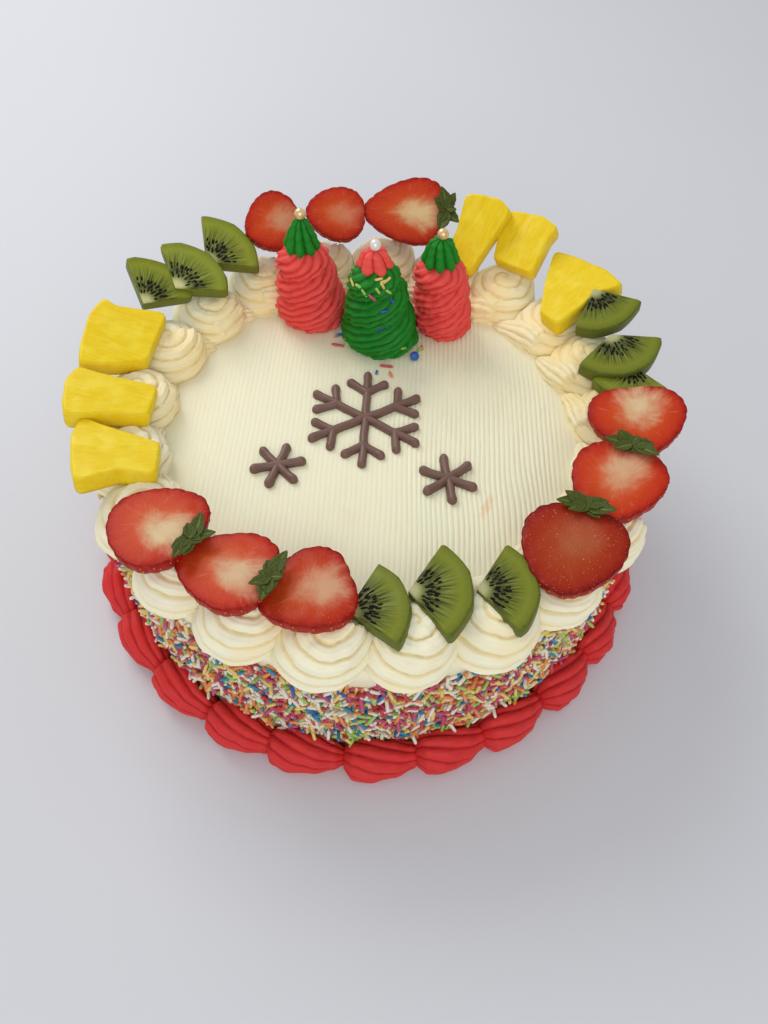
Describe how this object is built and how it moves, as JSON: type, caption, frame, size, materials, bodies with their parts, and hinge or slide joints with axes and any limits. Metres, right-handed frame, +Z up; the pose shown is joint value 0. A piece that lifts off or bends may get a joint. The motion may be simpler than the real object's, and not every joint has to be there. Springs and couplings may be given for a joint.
{
  "type": "christmas cake",
  "caption": "Round iced cake with a ridged top, piped swirls that carry sliced fruit, sprinkled sides, a shell border and small piped trees.",
  "frame": {"origin": "middle of the flat underside of the cake", "axes": "+Z up, -Y towards the front that the camera faces, +X to the right of that front"},
  "size_m": [0.2782, 0.2777, 0.1413],
  "materials": {
    "cream_body": "soft whipped cream, combed on top",
    "cream_swirls": "piped whipped cream",
    "red_cream": "piped red cream",
    "green_cream": "piped green cream",
    "strawberry": "moist cut fruit",
    "kiwi": "moist cut fruit",
    "pineapple": "moist cut fruit",
    "leaf": "fresh leaf",
    "chocolate": "piped milk chocolate",
    "gold_pearl": "pearly sugar",
    "white_pearl": "pearly sugar"
  },
  "bodies": {
    "root": {"cake_body": "cream_body", "cream_swirls": "cream_swirls", "red_shell_border": "red_cream", "strawberry_1": "strawberry", "strawberry_2": "strawberry", "strawberry_3": "strawberry", "strawberry_4": "strawberry", "strawberry_5": "strawberry", "strawberry_6": "strawberry", "strawberry_7": "strawberry", "strawberry_8": "strawberry", "strawberry_9": "strawberry", "kiwi_1": "kiwi", "kiwi_2": "kiwi", "kiwi_3": "kiwi", "kiwi_4": "kiwi", "kiwi_5": "kiwi", "kiwi_6": "kiwi", "kiwi_7": "kiwi", "kiwi_8": "kiwi", "kiwi_9": "kiwi", "pineapple_1": "pineapple", "pineapple_2": "pineapple", "pineapple_3": "pineapple", "pineapple_4": "pineapple", "pineapple_5": "pineapple", "pineapple_6": "pineapple", "calyx_1": "leaf", "calyx_2": "leaf", "calyx_4": "leaf", "calyx_5": "leaf", "calyx_7": "leaf", "tree_left": "red_cream", "tree_middle": "green_cream", "tree_right": "red_cream", "tree_left_cap": "green_cream", "tree_middle_cap": "red_cream", "tree_right_cap": "green_cream", "tree_left_pearl": "gold_pearl", "tree_middle_pearl": "white_pearl", "tree_right_pearl": "gold_pearl", "chocolate_snowflake": "chocolate", "chocolate_star_left": "chocolate", "chocolate_star_right": "chocolate"}
  },
  "joints": []
}
